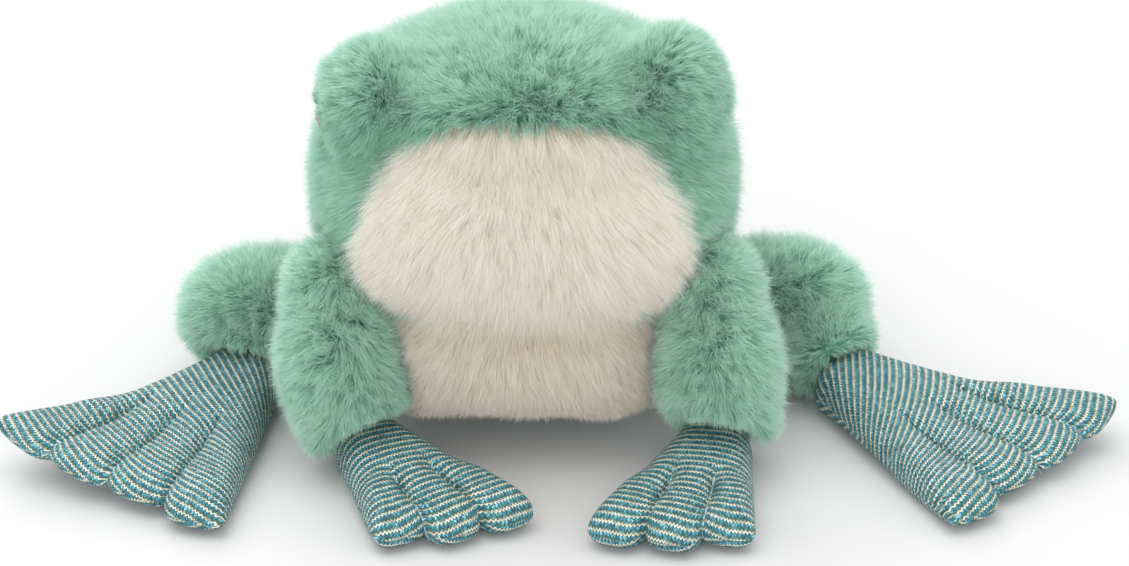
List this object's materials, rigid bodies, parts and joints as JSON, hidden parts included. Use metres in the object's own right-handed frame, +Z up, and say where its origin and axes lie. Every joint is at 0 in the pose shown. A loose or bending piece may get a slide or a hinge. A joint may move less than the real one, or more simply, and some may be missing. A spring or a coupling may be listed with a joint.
{
  "type": "plush frog",
  "caption": "Sitting plush frog with long green pile, a cream throat and belly, hinged stuffed limbs, padded knit hands and large webbed knit feet",
  "frame": {"origin": "on the floor, under the middle of the frog's box as it sits", "axes": "+Z is up, -Y is where the frog looks, +X is to the right of a person who faces it"},
  "size_m": [0.3882, 0.2316, 0.157],
  "materials": {
    "green_pile": "long green plush pile, lighter at the tips",
    "cream_pile": "long cream plush pile",
    "striped_knit": "fine teal and cream striped knit with a metallic thread",
    "eye_plastic": "glossy amber and black safety eye",
    "washer_plastic": "plain white lock washer, hidden inside"
  },
  "bodies": {
    "torso": {"belly_panel": "cream_pile", "body": "green_pile", "eye_left": "eye_plastic", "eye_mound_left": "green_pile", "eye_mound_right": "green_pile", "eye_right": "eye_plastic", "eye_washer_left": "washer_plastic", "eye_washer_right": "washer_plastic", "head": "green_pile", "throat_panel": "cream_pile"},
    "arm_left": {"arm_left": "green_pile"},
    "arm_right": {"arm_right": "green_pile"},
    "foot_left": {"foot_left": "striped_knit"},
    "foot_right": {"foot_right": "striped_knit"},
    "hand_left": {"hand_left": "striped_knit"},
    "hand_right": {"hand_right": "striped_knit"},
    "leg_left": {"leg_left": "green_pile"},
    "leg_right": {"leg_right": "green_pile"}
  },
  "joints": [
    {"name": "shoulder_left", "type": "hinge", "parent": "torso", "child": "arm_left", "pos_m": [-0.07948, -0.04068, 0.066], "axis": [-1, 0, 0], "range_deg": [-10, 30]},
    {"name": "wrist_left", "type": "hinge", "parent": "arm_left", "child": "hand_left", "pos_m": [-0.06698, -0.05868, 0.0125], "axis": [-0.8572, -0.515, 0], "range_deg": [-20, 30]},
    {"name": "hip_left", "type": "hinge", "parent": "torso", "child": "leg_left", "pos_m": [-0.10298, 0.01132, 0.0285], "axis": [-1, 0, 0], "range_deg": [-15, 30]},
    {"name": "ankle_left", "type": "hinge", "parent": "leg_left", "child": "foot_left", "pos_m": [-0.11748, -0.00768, 0.0135], "axis": [-0.866, 0.5, 0], "range_deg": [-20, 25]},
    {"name": "shoulder_right", "type": "hinge", "parent": "torso", "child": "arm_right", "pos_m": [0.05052, -0.04068, 0.066], "axis": [-1, 0, 0], "range_deg": [-10, 30]},
    {"name": "wrist_right", "type": "hinge", "parent": "arm_right", "child": "hand_right", "pos_m": [0.05252, -0.05868, 0.0125], "axis": [-0.9613, 0.2756, 0], "range_deg": [-20, 30]},
    {"name": "hip_right", "type": "hinge", "parent": "torso", "child": "leg_right", "pos_m": [0.07402, 0.01932, 0.0285], "axis": [-1, 0, 0], "range_deg": [-15, 30]},
    {"name": "ankle_right", "type": "hinge", "parent": "leg_right", "child": "foot_right", "pos_m": [0.10452, -0.00968, 0.0135], "axis": [-0.6691, -0.7431, 0], "range_deg": [-20, 25]}
  ]
}
